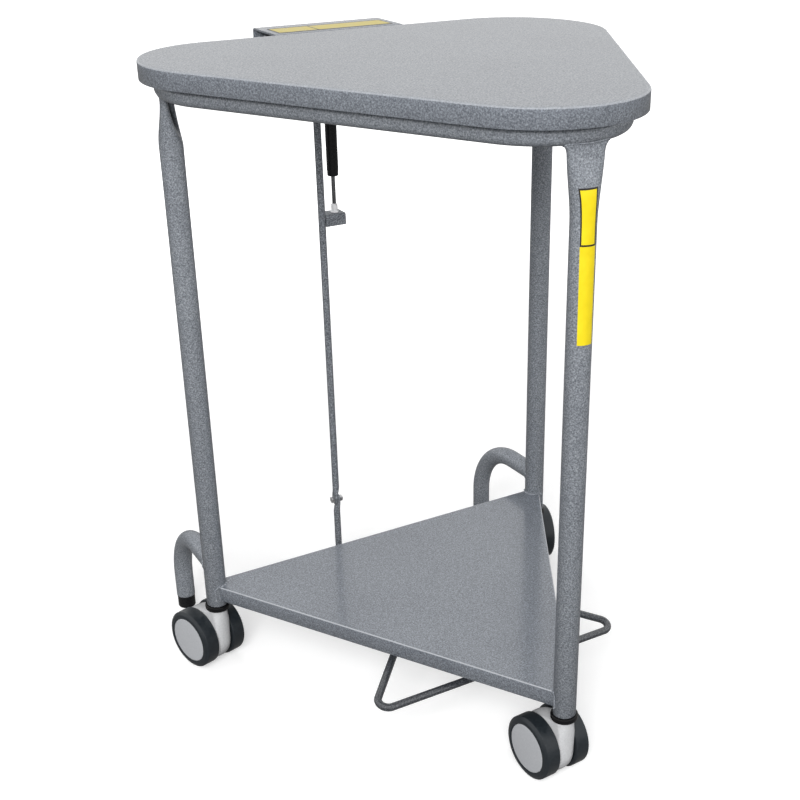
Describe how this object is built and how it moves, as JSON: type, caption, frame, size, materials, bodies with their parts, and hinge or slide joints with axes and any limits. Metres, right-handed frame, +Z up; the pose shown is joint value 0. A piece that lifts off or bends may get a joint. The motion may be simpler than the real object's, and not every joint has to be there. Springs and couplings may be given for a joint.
{
  "type": "linen hamper",
  "caption": "Triangular linen hamper stand with a foot pedal that lifts its hinged lid, a lower shelf, rear outriggers and twin-wheel casters.",
  "frame": {"origin": "on the floor, under the middle of the bounding box", "axes": "+X to the right seen from the front leg, +Y to the back, where the hinge is, +Z up"},
  "size_m": [0.703, 0.7189, 0.925],
  "materials": {
    "vein_paint": "grey silver-vein powder coat, semi-gloss",
    "black_plastic": "black",
    "tyre_rubber": "dark blue-grey",
    "bumper_rubber": "matt black",
    "caster_shell": "light grey",
    "plated_steel": "zinc plated",
    "bright_plating": "bright",
    "nylon": "natural"
  },
  "bodies": {
    "frame": {"leg_left": "vein_paint", "leg_right": "vein_paint", "leg_front": "vein_paint", "top_ring": "vein_paint", "shelf": "vein_paint", "outrigger_left": "vein_paint", "outrigger_right": "vein_paint", "outrigger_cap_left": "black_plastic", "outrigger_cap_right": "black_plastic", "hinge_bracket": "vein_paint", "hinge_pin": "plated_steel", "damper_strap": "vein_paint", "damper_cylinder": "black_plastic", "damper_bolt": "plated_steel", "pedal_hanger_left": "vein_paint", "pedal_hanger_right": "vein_paint", "pedal_pivot_pin": "plated_steel", "stem_collar_left": "black_plastic", "stem_collar_right": "black_plastic", "stem_collar_front": "black_plastic", "caster_stem_left": "plated_steel", "caster_stem_right": "plated_steel", "caster_stem_front": "plated_steel"},
    "lid": {"lid_pan": "vein_paint", "hinge_channel": "vein_paint", "hinge_bush_left": "nylon", "hinge_bush_right": "nylon", "crank_fork": "vein_paint", "crank_pin": "plated_steel", "lid_bumper_left": "bumper_rubber", "lid_bumper_right": "bumper_rubber", "lid_bumper_front": "bumper_rubber"},
    "push_bar": {"push_bar": "vein_paint", "damper_lug": "vein_paint", "damper_fitting": "bright_plating", "damper_rod": "plated_steel", "joint_bolt": "plated_steel", "joint_nut": "plated_steel"},
    "lower_link": {"lower_link": "vein_paint"},
    "pedal": {"pedal_loop": "vein_paint", "pedal_arm": "vein_paint", "link_pin": "plated_steel"},
    "caster_left": {"caster_housing_left": "caster_shell", "caster_axle_left": "plated_steel"},
    "wheel_left_a": {"tyre_left_a": "tyre_rubber", "wheel_left_a": "caster_shell"},
    "wheel_left_b": {"tyre_left_b": "tyre_rubber", "wheel_left_b": "caster_shell"},
    "caster_right": {"caster_housing_right": "caster_shell", "caster_axle_right": "plated_steel"},
    "wheel_right_a": {"tyre_right_a": "tyre_rubber", "wheel_right_a": "caster_shell"},
    "wheel_right_b": {"tyre_right_b": "tyre_rubber", "wheel_right_b": "caster_shell"},
    "caster_front": {"caster_housing_front": "caster_shell", "caster_axle_front": "plated_steel"},
    "wheel_front_a": {"tyre_front_a": "tyre_rubber", "wheel_front_a": "caster_shell"},
    "wheel_front_b": {"tyre_front_b": "tyre_rubber", "wheel_front_b": "caster_shell"}
  },
  "joints": [
    {"name": "lid_hinge", "type": "hinge", "parent": "frame", "child": "lid", "pos_m": [0, 0.32984, 0.908], "axis": [-1, 0, 0], "range_deg": [0, 75]},
    {"name": "push_bar_lift", "type": "slide", "parent": "frame", "child": "push_bar", "axis": [0, 0, 1], "range_m": [0, 0.0367]},
    {"name": "link_swing", "type": "hinge", "parent": "push_bar", "child": "lower_link", "pos_m": [-0.026, 0.30294, 0.163], "axis": [1, 0, 0], "range_deg": [0, 4.19]},
    {"name": "pedal_pivot", "type": "hinge", "parent": "frame", "child": "pedal", "pos_m": [0, 0.11984, 0.109], "axis": [1, 0, 0], "range_deg": [0, 11.21]},
    {"name": "swivel_left", "type": "hinge", "parent": "frame", "child": "caster_left", "pos_m": [-0.294, 0.17984, 0.1015], "axis": [0, 0, 1], "continuous": true},
    {"name": "spin_left_a", "type": "hinge", "parent": "caster_left", "child": "wheel_left_a", "pos_m": [-0.30331, 0.21087, 0.0465], "axis": [-0.9578, -0.2874, 0], "continuous": true},
    {"name": "spin_left_b", "type": "hinge", "parent": "caster_left", "child": "wheel_left_b", "pos_m": [-0.30331, 0.21087, 0.0465], "axis": [-0.9578, -0.2874, 0], "continuous": true},
    {"name": "swivel_right", "type": "hinge", "parent": "frame", "child": "caster_right", "pos_m": [0.294, 0.17984, 0.1015], "axis": [0, 0, 1], "continuous": true},
    {"name": "spin_right_a", "type": "hinge", "parent": "caster_right", "child": "wheel_right_a", "pos_m": [0.30331, 0.21087, 0.0465], "axis": [-0.9578, 0.2874, 0], "continuous": true},
    {"name": "spin_right_b", "type": "hinge", "parent": "caster_right", "child": "wheel_right_b", "pos_m": [0.30331, 0.21087, 0.0465], "axis": [-0.9578, 0.2874, 0], "continuous": true},
    {"name": "swivel_front", "type": "hinge", "parent": "frame", "child": "caster_front", "pos_m": [0, -0.32939, 0.1015], "axis": [0, 0, 1], "continuous": true},
    {"name": "spin_front_a", "type": "hinge", "parent": "caster_front", "child": "wheel_front_a", "pos_m": [-0.00187, -0.29704, 0.0465], "axis": [-0.9983, -0.0576, 0], "continuous": true},
    {"name": "spin_front_b", "type": "hinge", "parent": "caster_front", "child": "wheel_front_b", "pos_m": [-0.00187, -0.29704, 0.0465], "axis": [-0.9983, -0.0576, 0], "continuous": true}
  ],
  "couplings": [
    {"joint": "push_bar_lift", "follows": "lid_hinge", "m_per_rad": 0.0279},
    {"joint": "link_swing", "follows": "lid_hinge", "ratio": 0.05523},
    {"joint": "pedal_pivot", "follows": "lid_hinge", "ratio": 0.14882}
  ]
}
